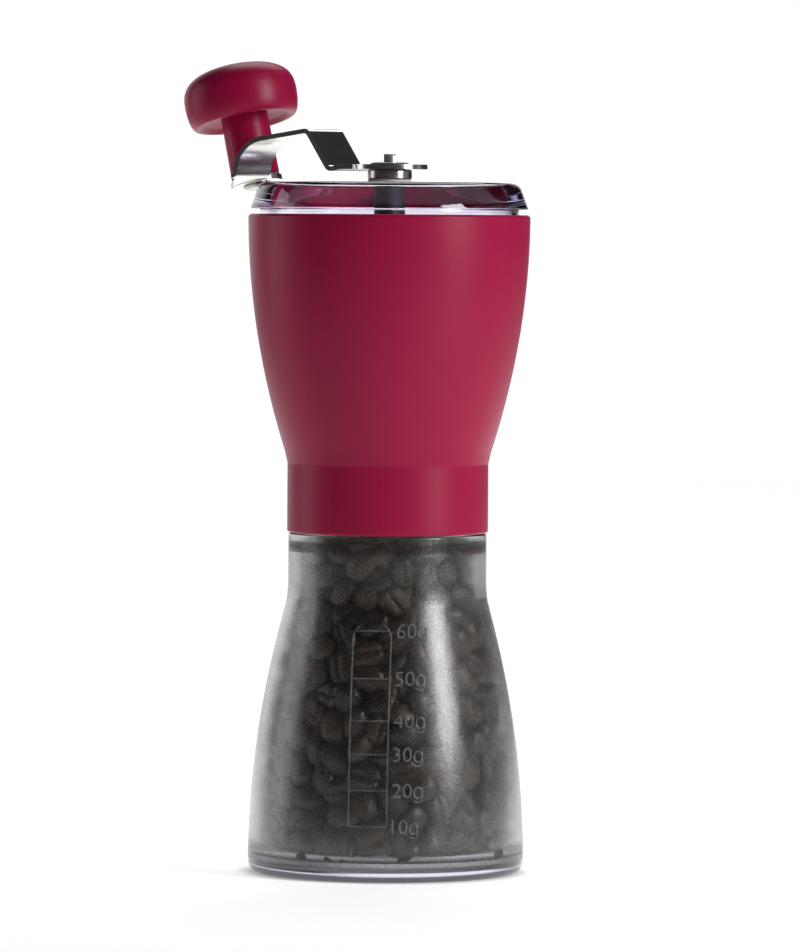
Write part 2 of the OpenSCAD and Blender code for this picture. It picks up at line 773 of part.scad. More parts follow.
// Knob: stem and the lower part of the head, hollow above the pin
module knob_body() {
    dish = 2.2;             // hollow under the head
    stem_r = stem_d / 2;
    lower = [for (i = [0:10]) let (h = seam_h * (1 - cos(9 * i)))
        [head_r(h), head_z + h]];
    color(berry_c)
        at_knob()
            rotate_extrude($fn = 80)
                polygon(concat(
                    [[pin_r + run_clear, knob_base], [stem_r - 0.3, knob_base], [stem_r, knob_base + 0.3],
                        [stem_r - 0.2, head_z + dish], [lip_r - 2.4, head_z + dish / 2], [lip_r - 0.9, head_z]],
                    lower,
                    [[head_r(seam_h) - 0.15, head_z + seam_h], [plug_r + 0.1, head_z + seam_h],
                        [plug_r + 0.1, pin_head_z - 0.1], [pin_r + run_clear, pin_head_z - 0.1]]));
}

// Cap that closes the top of the knob
module knob_cap() {
    plug_h = 1.5;
    skin = 1.6;
    rise = knob_h - bulge_h;
    start = asin(pow((seam_h - bulge_h) / rise, roundness / 2));
    dome = [for (i = [0:10]) let (a = start + (90 - start) * i / 10)
        [knob_d / 2 * pow(cos(a), 2 / roundness), head_z + bulge_h + rise * pow(sin(a), 2 / roundness)]];
    color(berry_c)
        at_knob()
            rotate_extrude($fn = 80)
                polygon(concat(
                    [[plug_r - skin, head_z + seam_h - plug_h], [plug_r, head_z + seam_h - plug_h],
                        [plug_r, head_z + seam_h], [head_r(seam_h) - 0.2, head_z + seam_h]],
                    dome,
                    [[0, head_z + knob_h - 2 * skin], [plug_r - skin - 1, head_z + knob_h - 2 * skin]]));
}

jar();
jar_seal();
hopper_body();
burr_carrier();
outer_burr();
burr_retainer();
lower_bush();
upper_bridge();
upper_bush();
drive_shaft();
shaft_clip();
thrust_washer();
spring_washer();
burr_spring();
inner_burr();
drive_plate();
adjusting_nut();
nut_insert();
lid();
lid_washer();
crank_arm();
arm_boss();
knob_pin();
pin_washer();
knob_body();
knob_cap();
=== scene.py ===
# Hand coffee grinder: finishes, clear jar with beans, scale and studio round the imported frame
import json
import math

import bmesh
import bpy
import numpy as np
from mathutils import Matrix, Vector

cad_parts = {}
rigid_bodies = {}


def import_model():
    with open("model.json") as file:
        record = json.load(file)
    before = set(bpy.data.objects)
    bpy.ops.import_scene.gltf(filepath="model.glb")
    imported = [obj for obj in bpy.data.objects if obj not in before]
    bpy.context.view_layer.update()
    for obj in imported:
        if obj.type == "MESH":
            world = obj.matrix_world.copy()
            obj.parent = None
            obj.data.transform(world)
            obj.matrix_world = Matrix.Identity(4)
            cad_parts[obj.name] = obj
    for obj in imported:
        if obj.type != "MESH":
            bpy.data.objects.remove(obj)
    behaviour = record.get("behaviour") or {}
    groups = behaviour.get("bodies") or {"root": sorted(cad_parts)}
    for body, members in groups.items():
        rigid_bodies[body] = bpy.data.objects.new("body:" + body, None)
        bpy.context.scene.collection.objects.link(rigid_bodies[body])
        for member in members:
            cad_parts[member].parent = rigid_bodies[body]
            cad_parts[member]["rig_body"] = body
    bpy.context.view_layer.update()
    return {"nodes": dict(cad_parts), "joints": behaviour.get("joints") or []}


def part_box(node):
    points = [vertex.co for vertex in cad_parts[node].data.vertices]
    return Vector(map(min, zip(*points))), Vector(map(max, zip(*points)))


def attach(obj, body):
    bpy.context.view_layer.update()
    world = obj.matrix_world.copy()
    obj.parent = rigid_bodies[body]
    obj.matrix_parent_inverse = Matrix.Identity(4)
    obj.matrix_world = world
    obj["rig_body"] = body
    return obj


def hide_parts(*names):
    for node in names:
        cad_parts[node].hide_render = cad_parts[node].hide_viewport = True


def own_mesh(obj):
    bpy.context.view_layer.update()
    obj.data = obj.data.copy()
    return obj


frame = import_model()
nodes = frame["nodes"]
joints = {joint["name"]: joint for joint in frame["joints"]}
mm = 0.001
print("frame loaded:", len(nodes), "nodes")


# shader sockets with Python arithmetic
class Sock:
    def __init__(self, finish, socket):
        self.finish = finish
        self.socket = socket

    def maths(self, operation, first, second):
        return self.finish.add("ShaderNodeMath", {"operation": operation}, {0: first, 1: second})

    def __add__(self, other):
        return self.maths("ADD", self, other)

    def __radd__(self, other):
        return self.maths("ADD", other, self)

    def __mul__(self, other):
        return self.maths("MULTIPLY", self, other)

    def __rmul__(self, other):
        return self.maths("MULTIPLY", other, self)

    def __truediv__(self, other):
        return self.maths("DIVIDE", self, other)


# one material, or the world, and the nodes that make it
class Finish:
    def __init__(self, name, kind=bpy.data.materials):
        self.block = kind.new(name)
        self.block.use_nodes = True
        self.tree = self.block.node_tree
        self.tree.nodes.clear()

    def add(self, kind, settings=None, sockets=None, out=0):
        node = self.tree.nodes.new(kind)
        for key, value in (settings or {}).items():
            if key == "stops":
                self.setStops(node.color_ramp, value)
            else:
                setattr(node, key, value)
        for key, value in (sockets or {}).items():
            if isinstance(value, Sock):
                self.tree.links.new(value.socket, node.inputs[key])
            else:
                node.inputs[key].default_value = value
        return Sock(self, node.outputs[out]) if node.outputs else None

    def setStops(self, ramp, stops):
        while len(ramp.elements) < len(stops):
            ramp.elements.new(1.0)
        for element, (place, level) in zip(ramp.elements, stops):
            element.position = place
            element.color = (level, level, level, 1.0)

    def place(self):
        return self.add("ShaderNodeTexCoord", out=3)

    def stretched(self, scale, turn=(0.0, 0.0, 0.0)):
        sockets = {"Vector": self.place(), "Scale": scale, "Rotation": turn}
        return self.add("ShaderNodeMapping", {"vector_type": "TEXTURE"}, sockets)

    def noise(self, scale, detail=3.0, rough=0.55, where=None):
        sockets = {"Vector": where or self.place(), "Scale": scale, "Detail": detail, "Roughness": rough}
        return self.add("ShaderNodeTexNoise", None, sockets)

    def ramp(self, value, *stops):
        return self.add("ShaderNodeValToRGB", {"stops": stops}, {0: value})

    def blend(self, factor, first, second):
        return self.add("ShaderNodeMix", {"data_type": "RGBA"}, {0: factor, 6: first, 7: second}, 2)

    def bump(self, height, strength, distance):
        sockets = {"Height": height, "Strength": strength, "Distance": distance}
        return self.add("ShaderNodeBump", None, sockets)

    def surface(self, **sockets):
        named = {key.replace("_", " "): value for key, value in sockets.items()}
        return self.add("ShaderNodeBsdfPrincipled", None, named)

    def letThrough(self, shader):
        # lamps shine straight through a clear piece
        shadow = self.add("ShaderNodeLightPath", out="Is Shadow Ray")
        passing = self.add("ShaderNodeBsdfTransparent", None, {"Color": rgb(0.93, 0.92, 0.95)})
        return self.add("ShaderNodeMixShader", None, {0: shadow, 1: shader, 2: passing})

    def close(self, shader, inside=None):
        sockets = {"Surface": shader}
        if inside:
            sockets["Volume"] = inside
        self.add("ShaderNodeOutputMaterial", None, sockets)
        return self.block


def rgb(red, green, blue):
    return (red, green, blue, 1.0)


# studio and camera
studio = {
    "distance": 1.85,           # camera to the shaft's axis
    "eyeHeight": 0.175,
    "aim": (0.0033, 0.0, 0.1076),
    "fieldHeight": 0.2587,      # picture height at the axis
    "roll": 0.36,               # degrees
    "sensor": 36.0,
    "floorSize": 6.0,
    "floorTones": (0.76, 0.8),
    "floorGlow": [(-0.9, 0.16), (-0.35, 0.5), (-0.1, 0.62), (0.25, 0.92)],     # painted glow, brighter towards the back: depth and level
    "paintedFootShadow": [(0.033, 0.08), (0.041, 1.0)],     # painted shadow: the floor is dark under the foot: reach and level
    "sideShade": [(0.33, 1.0), (0.6, 0.2)],         # painted shade: the floor dims to both sides: distance and level
    "backdropFacing": (-0.26, 0.966, 0.0),
    "backdropEdge": (0.82, 0.94),
    "backdropLevel": 1.1,
    "roomLevel": 0.02,
}


def makeCamera():
    data = bpy.data.cameras.new("photoCamera")
    camera = bpy.data.objects.new("photoCamera", data)
    bpy.context.scene.collection.objects.link(camera)
    aim = Vector(studio["aim"])
    camera.location = (aim.x, -studio["distance"], studio["eyeHeight"])
    look = aim - camera.location
    data.sensor_width = studio["sensor"]
    data.lens = studio["sensor"] * look.length / studio["fieldHeight"]
    data.clip_start = 0.05
    camera.rotation_mode = "QUATERNION"
    turn = look.to_track_quat("-Z", "Y")
    camera.rotation_quaternion = turn @ Matrix.Rotation(math.radians(studio["roll"]), 3, "Z").to_quaternion()
    bpy.context.scene.camera = camera


def softbox(name, place, target, width, height, watts):
    data = bpy.data.lights.new(name, "AREA")
    data.shape = "RECTANGLE"
    data.size = width
    data.size_y = height
    data.energy = watts
    light = bpy.data.objects.new(name, data)
    bpy.context.scene.collection.objects.link(light)
    light.location = place
    light.rotation_mode = "QUATERNION"
    light.rotation_quaternion = (Vector(target) - Vector(place)).to_track_quat("-Z", "Y")


def makeWorld():
    # a white backdrop behind the object in an otherwise dim room
    world = Finish("dimRoom", bpy.data.worlds)
    bpy.context.scene.world = world.block
    direction = world.add("ShaderNodeTexCoord", out="Generated")
    sockets = {0: direction, 1: studio["backdropFacing"]}
    facing = world.add("ShaderNodeVectorMath", {"operation": "DOT_PRODUCT"}, sockets, "Value")
    low, high = studio["backdropEdge"]
    level = world.ramp(facing, (low, studio["roomLevel"]), (high, 1.0))
    back = world.add("ShaderNodeBackground", None, {"Color": level, "Strength": studio["backdropLevel"]})
    world.add("ShaderNodeOutputWorld", None, {"Surface": back})


def makeFloor():
    half = studio["floorSize"] / 2
    mesh = bpy.data.meshes.new("studioFloor")
    corners = [(-half, -half, 0), (half, -half, 0), (half, half, 0), (-half, half, 0)]
    mesh.from_pydata(corners, [], [(0, 1, 2, 3)])
    floor = bpy.data.objects.new("studioFloor", mesh)
    bpy.context.scene.collection.objects.link(floor)
    finish = Finish("paleFloor")
    grain = finish.noise(18.0)
    tone = finish.blend(grain, *[rgb(level, level, level) for level in studio["floorTones"]])
    # painted light: the floor glows, brighter towards the back, with a painted shadow under the foot and
    # painted shade to both sides
    depth = finish.add("ShaderNodeSeparateXYZ", None, {0: finish.place()}, 1)
    reach = finish.add("ShaderNodeVectorMath", {"operation": "LENGTH"}, {0: finish.place()}, 1)
    stops = [((place + 1) / 2, level) for place, level in studio["floorGlow"]]
    glow = finish.ramp((depth + 1.0) / 2, *stops)
    shade = finish.ramp(reach * 10.0, *[(place * 10, level) for place, level in studio["paintedFootShadow"]])
    side = finish.add("ShaderNodeSeparateXYZ", None, {0: finish.place()}, 0)
    aside = finish.ramp(side * side, *[(place * place, level) for place, level in studio["sideShade"]])
    light = glow * shade * aside
    shader = finish.surface(Base_Color=tone, Roughness=0.8, Emission_Color=light, Emission_Strength=1.0)
    mesh.materials.append(finish.close(shader))


makeCamera()
makeWorld()
makeFloor()
softbox("keyRight", (1.02, -0.64, 0.54), (0, 0, 0.13), 0.42, 0.7, 12.5)
softbox("edgeLeft", (-1.1, 0.25, 0.3), (0, 0, 0.12), 0.5, 0.8, 2.0)
softbox("topGlow", (0.1, 0.6, 1.0), (0, 0, 0.15), 0.7, 0.7, 4.0)
softbox("cardRight", (1.15, 0.22, 0.3), (0, 0, 0.19), 0.4, 0.7, 0.2)
bpy.context.scene.view_settings.view_transform = "Standard"
print("studio ready")


# turned pieces: the ring profile of a CAD node, with soft corners, spun again in fine steps
def ringProfile(node, toLocal):
    mesh = nodes[node].data
    places = [toLocal @ v.co for v in mesh.vertices]
    near = 2e-6
    seam = {}
    for index, p in enumerate(places):
        if abs(p.y) < near and p.x > -near:
            seam[index] = (round(max(p.x, 0.0), 6), round(p.z, 6))
    links = {point: set() for point in seam.values()}
    for edge in mesh.edges:
        a, b = edge.vertices
        if a in seam and b in seam and seam[a] != seam[b]:
            links[seam[a]].add(seam[b])
            links[seam[b]].add(seam[a])
    loose = [point for point in links if len(links[point]) < 2]
    for point in loose:     # flat rings have no seam edge: join their two ends
        for other in loose:
            level = other != point and abs(other[1] - point[1]) < near
            if level and len(links[point]) < 2 and len(links[other]) < 2:
                links[point].add(other)
                links[other].add(point)
    ends = [point for point in links if len(links[point]) == 1]
    start = ends[0] if ends else next(iter(links))
    walk = [start]
    while True:
        onward = [point for point in links[walk[-1]] if point not in walk]
        if not onward:
            break
        walk.append(onward[0])
    if ends:        # flat discs have no vertex on the axis
        walk = [(0.0, walk[0][1])] * (walk[0][0] > near) + walk + [(0.0, walk[-1][1])] * (walk[-1][0] > near)
    return [Vector(point) for point in walk], not ends


def softened(points, closed, radius, steps=4):
    count = len(points)
    turns = [0.0] * count
    for i in range(0 if closed else 1, count if closed else count - 1):
        turns[i] = math.degrees((points[i] - points[i - 1]).angle(points[(i + 1) % count] - points[i]))
    line = []
    for i, corner in enumerate(points):
        beside = max(turns[i - 1], turns[(i + 1) % count])
        if turns[i] < 8 or (turns[i] < 22 and beside > 0.5 * turns[i]):     # part of a round, or straight
            line.append(corner)
            continue
        inward, outward = corner - points[i - 1], points[(i + 1) % count] - corner
        reach = radius * math.tan(math.radians(turns[i]) / 2)
        reach = min(max(reach, 0.5 * radius), 0.4 * inward.length, 0.4 * outward.length)
        first, last = corner - inward.normalized() * reach, corner + outward.normalized() * reach
        if inward.length > 4 * reach:
            line.append(first - inward.normalized() * reach)    # keeps the flat beside it flat
        for k in range(steps + 1):
            t = k / steps
            line.append(first * (1 - t) ** 2 + corner * 2 * t * (1 - t) + last * t * t)
        if outward.length > 4 * reach:
            line.append(last + outward.normalized() * reach)
    return line


def spun(name, line, closed, toWorld, turns=192):
    mesh = bpy.data.meshes.new(name)
    work = bmesh.new()
    rings = []
    for point in line:
        if point.x < 1e-6:
            rings.append([work.verts.new(toWorld @ Vector((0, 0, point.y)))])
            continue
        rings.append([work.verts.new(toWorld @ Vector((point.x * math.cos(2 * math.pi * k / turns),
                                                       point.x * math.sin(2 * math.pi * k / turns), point.y)))
                      for k in range(turns)])
    pairs = list(zip(rings, rings[1:] + rings[:1])) if closed else list(zip(rings, rings[1:]))
    for low, high in pairs:
        for k in range(turns):
            n = (k + 1) % turns
            if len(low) == 1 and len(high) == 1:
                break
            if len(low) == 1:
                work.faces.new((low[0], high[n], high[k]))
            elif len(high) == 1:
                work.faces.new((low[k], low[n], high[0]))
            else:
                work.faces.new((low[k], low[n], high[n], high[k]))
    bmesh.ops.recalc_face_normals(work, faces=work.faces)
    for face in work.faces:
        face.smooth = True
    work.to_mesh(mesh)
    work.free()
    piece = bpy.data.objects.new(name, mesh)
    bpy.context.scene.collection.objects.link(piece)
    return piece


def knobFrame():
    joint = joints["knob_spin"]
    lean = Vector(joint["axis"])
    plan = math.atan2(lean.y, lean.x)
    tilt = math.atan2(math.hypot(lean.x, lean.y), lean.z)
    return Matrix.Translation(joint["pos_m"]) @ Matrix.Rotation(plan, 4, "Z") @ Matrix.Rotation(tilt, 4, "Y")


def turnedPiece(name, node, radius, toWorld=Matrix(), turns=192):
    points, closed = ringProfile(node, toWorld.inverted())
    piece = spun(name, softened(points, closed, radius), closed, toWorld, turns)
    return standIn(piece, node)


# other rigid pieces: the CAD mesh with small rounds on its sharp edges
def softEdges(name, node, width, segments=3, sharpAngle=32.0):
    mesh = bpy.data.meshes.new(name)
    work = bmesh.new()
    work.from_mesh(nodes[node].data)
    bmesh.ops.remove_doubles(work, verts=work.verts, dist=1e-6)
    bmesh.ops.dissolve_limit(work, angle_limit=math.radians(0.4), verts=work.verts, edges=work.edges)
    sharp = [edge for edge in work.edges if edge.calc_face_angle(0.0) > math.radians(sharpAngle)]
    bmesh.ops.bevel(work, geom=sharp, offset=width, offset_type="OFFSET", segments=segments, profile=0.5,
                    affect="EDGES", clamp_overlap=True)
    for face in work.faces:
        face.smooth = True
    for edge in work.edges:
        edge.smooth = edge.calc_face_angle(0.0) < math.radians(sharpAngle)
    work.to_mesh(mesh)
    work.free()
    piece = bpy.data.objects.new(name, mesh)
    bpy.context.scene.collection.objects.link(piece)
    piece.modifiers.new("flatFaces", "WEIGHTED_NORMAL").keep_sharp = True
    return standIn(piece, node)


def standIn(piece, node):
    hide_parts(node)
    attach(piece, nodes[node]["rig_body"])
    return piece


def dressed(piece, *materials):
    piece.data.materials.clear()
    for material in materials:
        piece.data.materials.append(material)
    return piece


# finishes
def berrySatin():
    finish = Finish("berrySatin")
    texture = finish.noise(5200.0, 2.0, 0.6)
    cloud = finish.noise(55.0, 3.0, 0.5)
    tone = finish.blend(cloud, rgb(0.285, 0.0032, 0.040), rgb(0.315, 0.0042, 0.047))
    rough = 0.29 + 0.08 * texture + 0.05 * cloud
    relief = finish.bump(texture, 0.12, 0.00006)
    return finish.close(finish.surface(Base_Color=tone, Roughness=rough, Normal=relief,
                                       Specular_IOR_Level=0.2))


def hazyClear():
    # blasted outside wall, polished at the foot
    finish = Finish("hazyClear")
    height = finish.add("ShaderNodeSeparateXYZ", None, {0: finish.place()}, 2)
    wall = finish.ramp(height / 0.012, (0.32, 0.0), (0.37, 1.0))
    cloud = finish.noise(160.0, 3.0, 0.6)
    grain = finish.noise(7000.0, 2.0, 0.6)
    pits = finish.ramp(grain, (0.44, 0.0), (0.56, 1.0))
    tone = finish.blend(wall, rgb(0.72, 0.72, 0.86), rgb(0.90, 0.94, 0.92))
    rough = 0.09 + wall * (0.04 + 0.04 * cloud + 0.24 * pits)
    blasted = finish.bump(grain, 0.08, 0.00008)
    return finish.close(finish.surface(Base_Color=tone, Roughness=rough, Normal=blasted,
                                       Transmission_Weight=1.0, IOR=1.49))


def clearInside():
    finish = Finish("clearInside")
    cloud = finish.noise(140.0, 3.0, 0.6)
    rough = 0.13 + 0.05 * cloud
    ripple = finish.bump(finish.noise(260.0, 2.0, 0.5), 0.05, 0.0001)
    return finish.close(finish.surface(Base_Color=rgb(0.96, 0.97, 0.975), Roughness=rough, Normal=ripple,
                                       Transmission_Weight=1.0, IOR=1.49))


def polishedClear(name):
    finish = Finish(name)
    cloud = finish.noise(90.0, 3.0, 0.6)
    tone = finish.blend(cloud, rgb(0.95, 0.94, 0.97), rgb(0.97, 0.96, 0.985))
    rough = 0.015 + 0.02 * cloud
    clear = finish.surface(Base_Color=tone, Roughness=rough, Transmission_Weight=1.0, IOR=1.49)
    # a purple tinge that shows where the plastic is seen edge on
    tinge = finish.add("ShaderNodeVolumeAbsorption", None, {"Color": rgb(0.5, 0.4, 0.86), "Density": 55.0})
    return finish.close(finish.letThrough(clear), tinge)


def raisedClear(name, shade, shows):
    # thin moulded lines: mostly seen by their edges. Painted shade: the clear strokes get a grey, part
    # see-through colour in place of the light their edges bend
    finish = Finish(name)
    cloud = finish.noise(900.0, 2.0, 0.5)
    tone = finish.blend(cloud, rgb(shade, shade, shade), rgb(1.3 * shade, 1.3 * shade, 1.3 * shade))
    rough = 0.16 + 0.1 * cloud
    return finish.close(finish.surface(Base_Color=tone, Roughness=rough, Alpha=shows + 0.15 * cloud,
                                       Specular_IOR_Level=0.8))


def brushedSheet():
    # rolled strip: fine lines along the crank, a few longer scratches
    finish = Finish("brushedSheet")
    axis = joints["knob_spin"]["axis"]
    plan = math.atan2(axis[1], axis[0])
    along = finish.stretched((30.0, 1.0, 1.0), (0.0, 0.0, plan))
    lines = finish.noise(5200.0, 3.0, 0.65, along)
    wide = finish.noise(700.0, 2.0, 0.6, along)
    tone = finish.blend(wide, rgb(0.64, 0.64, 0.62), rgb(0.70, 0.70, 0.68))
    rough = 0.16 + 0.05 * lines + 0.03 * wide
    relief = finish.bump(lines, 0.03, 0.00002)
    return finish.close(finish.surface(Base_Color=tone, Metallic=1.0, Roughness=rough, Normal=relief))


def turnedSteel(name, light, dark, rough):
    # lathe rings round the shaft's axis
    finish = Finish(name)
    rings = finish.noise(6000.0, 2.0, 0.6, finish.stretched((40.0, 40.0, 1.0)))
    stain = finish.noise(420.0, 4.0, 0.6)
    tone = finish.blend(stain, dark, light)
    shine = rough + 0.1 * rings + 0.1 * stain
    relief = finish.bump(rings, 0.12, 0.00003)
    return finish.close(finish.surface(Base_Color=tone, Metallic=1.0, Roughness=shine, Normal=relief))


def mouldedPlastic(name, light, dark, rough, grainSize=2600.0):
    finish = Finish(name)
    grain = finish.noise(grainSize, 2.0, 0.6)
    cloud = finish.noise(120.0, 3.0, 0.55)
    tone = finish.blend(cloud, dark, light)
    shine = rough + 0.1 * grain + 0.05 * cloud
    relief = finish.bump(grain, 0.15, 0.00006)
    return finish.close(finish.surface(Base_Color=tone, Roughness=shine, Normal=relief,
                                       Specular_IOR_Level=0.45))


def unglazedCeramic():
    # fine pressed grain, with coffee dust in patches
    finish = Finish("unglazedCeramic")
    grain = finish.noise(3200.0, 3.0, 0.65)
    dust = finish.ramp(finish.noise(330.0, 4.0, 0.6), (0.5, 0.0), (0.8, 1.0))
    tone = finish.blend(dust * 0.35, rgb(0.78, 0.75, 0.69), rgb(0.42, 0.29, 0.19))
    shine = 0.42 + 0.15 * grain
    relief = finish.bump(grain, 0.2, 0.00008)
    return finish.close(finish.surface(Base_Color=tone, Roughness=shine, Normal=relief))


berry = berrySatin()
sheet = brushedSheet()
steel = turnedSteel("turnedSteel", rgb(0.56, 0.54, 0.50), rgb(0.40, 0.38, 0.35), 0.14)
groundSteel = turnedSteel("groundSteel", rgb(0.66, 0.65, 0.62), rgb(0.54, 0.53, 0.50), 0.28)
wire = turnedSteel("springWire", rgb(0.46, 0.45, 0.44), rgb(0.33, 0.32, 0.31), 0.2)
brass = turnedSteel("turnedBrass", rgb(0.72, 0.52, 0.22), rgb(0.58, 0.40, 0.16), 0.16)
darkPlastic = mouldedPlastic("darkPlastic", rgb(0.018, 0.013, 0.014), rgb(0.012, 0.009, 0.010), 0.45)
nylon = mouldedPlastic("paleNylon", rgb(0.72, 0.70, 0.65), rgb(0.64, 0.62, 0.57), 0.42)
rubber = mouldedPlastic("sealRubber", rgb(0.60, 0.60, 0.57), rgb(0.50, 0.50, 0.47), 0.55, 1800.0)
ceramic = unglazedCeramic()
# painted shade: a dark brown finish for the jar's shoulder, where the collar's shade falls
paintedShoulderShade = mouldedPlastic("paintedShoulderShade", rgb(0.030, 0.019, 0.013), rgb(0.020, 0.012, 0.008), 0.7)
print("finishes ready")

# clear jar: hazy outside, polished inside and on its spigot, painted shade (dark brown) on the shoulder under
# the collar
jarWall = dressed(turnedPiece("jarWall", "jar", 0.5 * mm, turns=256), hazyClear(), clearInside(), paintedShoulderShade)
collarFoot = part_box("hopper_body")[0].z
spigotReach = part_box("jar_seal")[1].x
for face in jarWall.data.polygons:
    reach = math.hypot(face.center.x, face.center.y)
    outward = Vector((face.center.x, face.center.y, 0)).dot(face.normal)
    polished = outward < 0 or face.normal.z > 0.9 or face.center.z > collarFoot
    # the shoulder faces under the collar take the painted shade
    shoulder = face.normal.z > 0.9 and reach > spigotReach
    face.material_index = 2 if shoulder else int(polished)

dressed(turnedPiece("hopperCup", "hopper_body", 0.35 * mm, turns=256), berry)
dressed(turnedPiece("lidCover", "lid", 0.4 * mm, turns=256), polishedClear("polishedClear"))
dressed(turnedPiece("knobStem", "knob_body", 0.4 * mm, knobFrame(), 160), berry)
dressed(turnedPiece("knobTop", "knob_cap", 0.45 * mm, knobFrame(), 160), berry)
dressed(turnedPiece("knobRivet", "knob_pin", 0.15 * mm, knobFrame(), 96), steel)
dressed(turnedPiece("knobWasher", "pin_washer", 0.1 * mm, knobFrame(), 96), steel)
for name, node, radius, finish in [
        ("jarSeal", "jar_seal", 0.35, rubber), ("lidWasher", "lid_washer", 0.1, nylon),
        ("lowerBush", "lower_bush", 0.2, nylon), ("upperBush", "upper_bush", 0.2, nylon),
        ("thrustWasher", "thrust_washer", 0.15, nylon), ("springWasher", "spring_washer", 0.12, steel),
        ("nutInsert", "nut_insert", 0.2, brass)]:
    dressed(turnedPiece(name, node, radius * mm, turns=96), finish)
for name, node, width, finish in [
        ("crankStrip", "crank_arm", 0.22, sheet), ("crankBoss", "arm_boss", 0.12, steel),
        ("driveShaft", "drive_shaft", 0.15, groundSteel), ("shaftClip", "shaft_clip", 0.1, wire),
        ("drivePlate", "drive_plate", 0.15, steel), ("adjustingNut", "adjusting_nut", 0.4, darkPlastic),
        ("burrCarrier", "burr_carrier", 0.3, darkPlastic),
        ("burrRetainer", "burr_retainer", 0.2, darkPlastic),
        ("shaftBridge", "upper_bridge", 0.4, berry), ("outerBurr", "outer_burr", 0.05, ceramic),
        ("innerBurr", "inner_burr", 0.05, ceramic)]:
    dressed(softEdges(name, node, width * mm), finish)

# dark sleeve round the shaft between the upper bush and the lid
shaftSleeve = {
    "radius": 4.2 * mm,
    "bore": 2.85 * mm,
    "top": 12.0 * mm,       # above the bush
    "edge": 0.4 * mm,
}


def makeSleeve():
    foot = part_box("upper_bush")[1].z
    top = foot + shaftSleeve["top"]
    outer, inner = shaftSleeve["radius"], shaftSleeve["bore"]
    corners = [Vector(point) for point in [(inner, foot), (outer, foot), (outer, top), (inner, top)]]
    sleeve = spun("shaftSleeve", softened(corners, True, shaftSleeve["edge"]), True, Matrix(), 96)
    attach(dressed(sleeve, darkPlastic), "hopper")


makeSleeve()
print("rigid pieces ready")


# beans in the jar: soft ellipsoids settled by a seeded relaxation, then meshed with their creases
beanFill = {
    "count": 930,
    "seed": 7,
    "half": (4.9 * mm, 3.9 * mm, 2.6 * mm),     # length, width and thickness, halved
    "spread": 0.07,                             # size variation
    "wallClear": 0.25 * mm,
    "topClear": 0.6 * mm,
    "settleSteps": 420,
    "pushShare": 0.42,                          # of an overlap, in one step
    "sink": 0.05 * mm,                          # in one step
    "startClear": 3 * mm,                       # from the wall, before settling
    "pairReach": 2.2,                           # of the largest half length, for beans that may touch
    "pairSteps": 6,                             # steps between two searches for such pairs
    "layShare": 3,                              # beans lie down after this part of the steps
    "wallReach": 6.5 * mm,                      # beans this near the wall lie down on it
    "floorReach": 5 * mm,
    "asideFrom": 0.6,                           # share of the nut's reach where beans go aside, not down
    "asideShare": 0.5,                          # of the way aside, in one step
    "rings": 11,
    "domePoints": 8,
}


def jarInside():
    points, closed = ringProfile("jar", Matrix())
    count = len(points)
    segments = [(points[i], points[(i + 1) % count]) for i in range(count if closed else count - 1)]
    floor = min(p.y for p in points if p.x < 1 * mm and p.y > 1 * mm)
    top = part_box("jar")[1].z
    heights = np.linspace(floor + 0.01 * mm, top - 0.01 * mm, 240)
    radii = []
    for z in heights:
        crossed = [(a, b) for a, b in segments if (a.y - z) * (b.y - z) < 0]
        radii.append(min(a.x + (b.x - a.x) * (z - a.y) / (b.y - a.y) for a, b in crossed))
    return floor, heights, np.array(radii)


def randomTurns(rng, count):
    q = rng.normal(size=(count, 4))
    w, x, y, z = (q / np.linalg.norm(q, axis=1, keepdims=True)).T
    return np.stack([
        np.stack([1 - 2 * (y * y + z * z), 2 * (x * y - w * z), 2 * (x * z + w * y)], 1),
        np.stack([2 * (x * y + w * z), 1 - 2 * (x * x + z * z), 2 * (y * z - w * x)], 1),
        np.stack([2 * (x * z - w * y), 2 * (y * z + w * x), 1 - 2 * (x * x + y * y)], 1)], 1)


def laidOn(normals, rng):
    # bean frames whose thin side lies on the given normals, give or take
    thin = normals + rng.normal(scale=0.28, size=normals.shape)
    thin *= np.sign(rng.random(len(thin)) - 0.45)[:, None]
    thin /= np.linalg.norm(thin, axis=1, keepdims=True)
    along = np.cross(thin, rng.normal(size=normals.shape))
    along /= np.linalg.norm(along, axis=1, keepdims=True)
    return np.stack([along, np.cross(thin, along), thin], 2)


def wallBeside(places, heights, radii):
    # distance from the axis, direction outwards, wall radius and wall normal at each bean
    away = np.hypot(places[:, 0], places[:, 1])
    outward = np.zeros_like(places)
    outward[:, :2] = places[:, :2] / np.maximum(away, 1e-6)[:, None]
    wall = np.interp(places[:, 2], heights, radii)
    slope = (np.interp(places[:, 2] + mm, heights, radii) - wall) / mm
    normal = outward - np.array([0, 0, 1.0]) * slope[:, None]
    return away, outward, wall, normal / np.linalg.norm(normal, axis=1, keepdims=True)


def halfDepth(turns, half, direction):
    # reach of each bean's ellipsoid along a direction
    return np.sqrt(((np.einsum("nij,ni->nj", turns, direction) * half) ** 2).sum(1))


